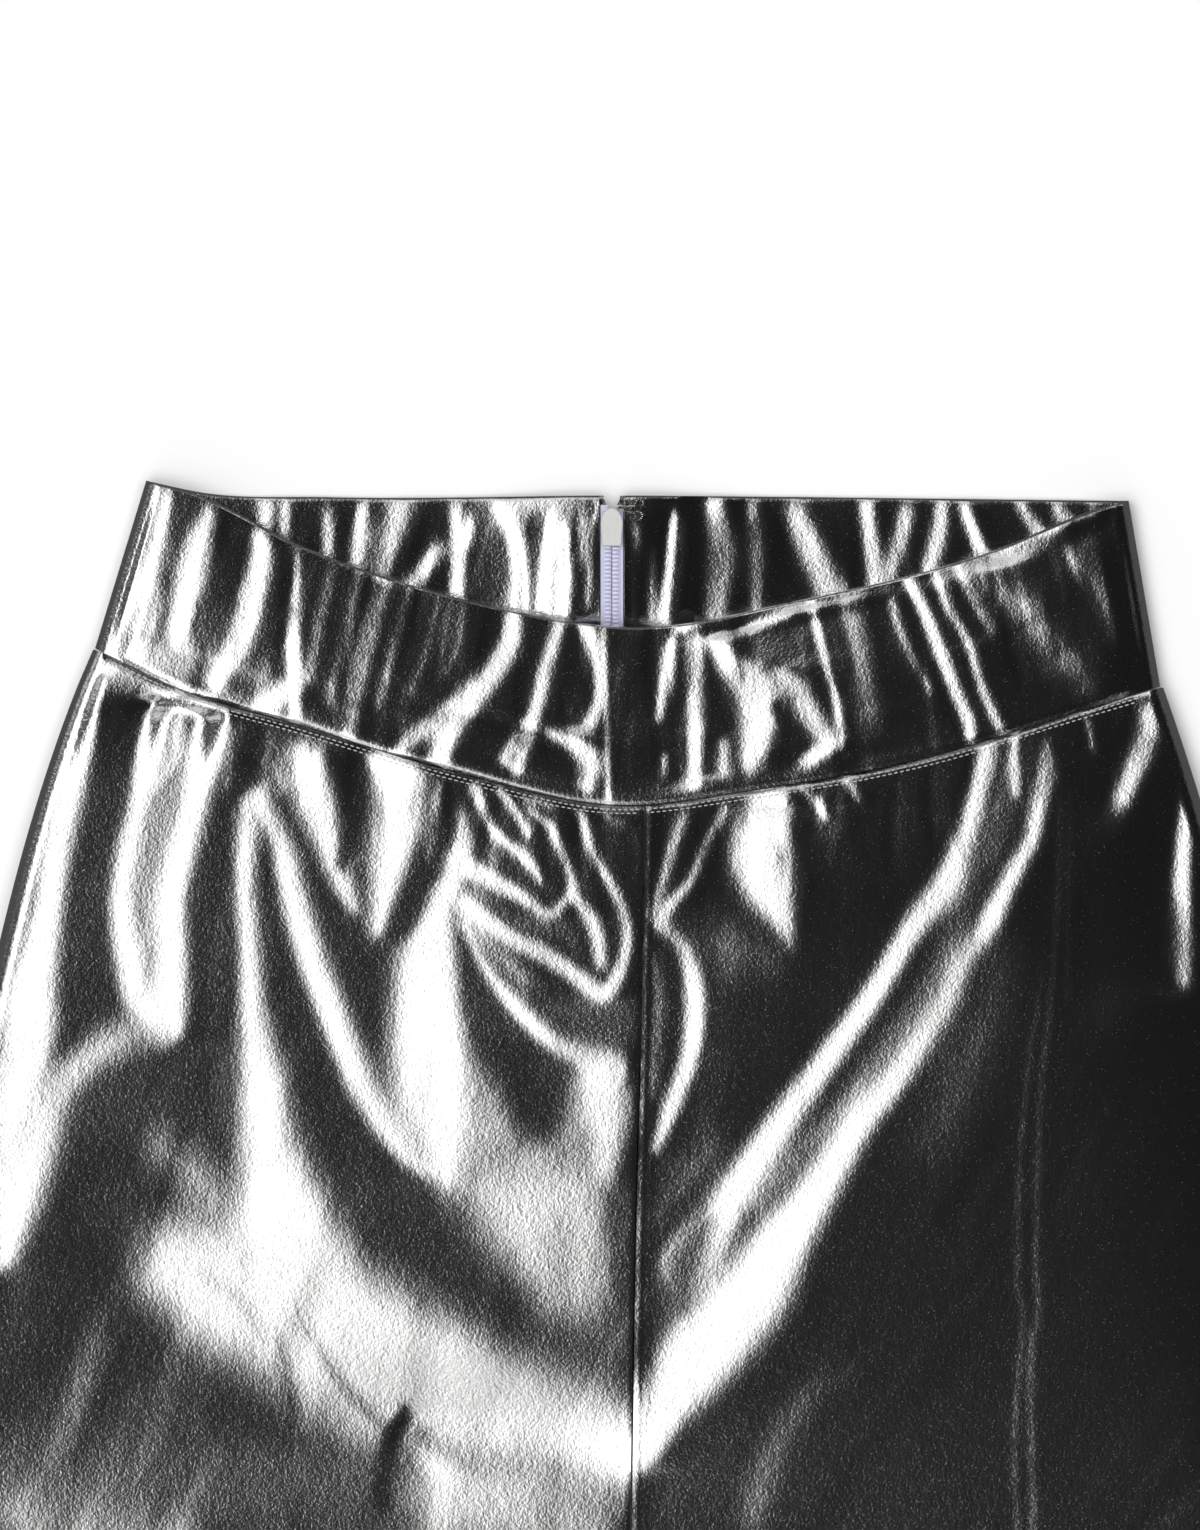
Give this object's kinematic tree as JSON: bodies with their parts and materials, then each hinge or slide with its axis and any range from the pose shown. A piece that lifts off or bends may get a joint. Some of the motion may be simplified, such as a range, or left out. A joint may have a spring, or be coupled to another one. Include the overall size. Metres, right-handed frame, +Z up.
{
  "type": "leggings",
  "caption": "Silver foil-coated leggings lying flat on their back, with a gathered elastic waistband that dips at the front and a zip at the centre back",
  "frame": {"origin": "centre of the bounding box in plan, on the plane that the back panels lie on", "axes": "+X to the right as seen from above with the waist at the top, +Y from the hems to the waist, +Z up out of the front of the garment"},
  "size_m": [0.4329, 0.9814, 0.0301],
  "materials": {
    "silver_cloth": "stretch cloth with a metallic silver foil coating and a fine leather-like grain, fairly glossy",
    "zip_tape": "pale lilac woven polyester tape, matte",
    "zip_coil": "pale lilac nylon coil",
    "enamel": "pale warm grey enamel on the slider and its tab",
    "gunmetal": "dark gunmetal bent wire",
    "black_tape": "black woven tape, matte"
  },
  "bodies": {
    "garment": {"front_waistband": "silver_cloth", "back_waistband_left": "silver_cloth", "back_waistband_right": "silver_cloth", "front_panel_left": "silver_cloth", "front_panel_right": "silver_cloth", "back_panel_left": "silver_cloth", "back_panel_right": "silver_cloth", "zip_tape_left": "zip_tape", "zip_tape_right": "zip_tape", "zip_coil_left": "zip_coil", "zip_coil_right": "zip_coil", "zip_slider": "enamel", "hook": "gunmetal", "hook_eye": "gunmetal", "inner_tape_loop": "black_tape"},
    "pull_tab": {"zip_pull_tab": "enamel"}
  },
  "joints": [
    {"name": "pull_tab_pivot", "type": "hinge", "parent": "garment", "child": "pull_tab", "pos_m": [-0.0015, 0.4797, 0.00175], "axis": [1, 0, 0], "range_deg": [0, 170]}
  ]
}
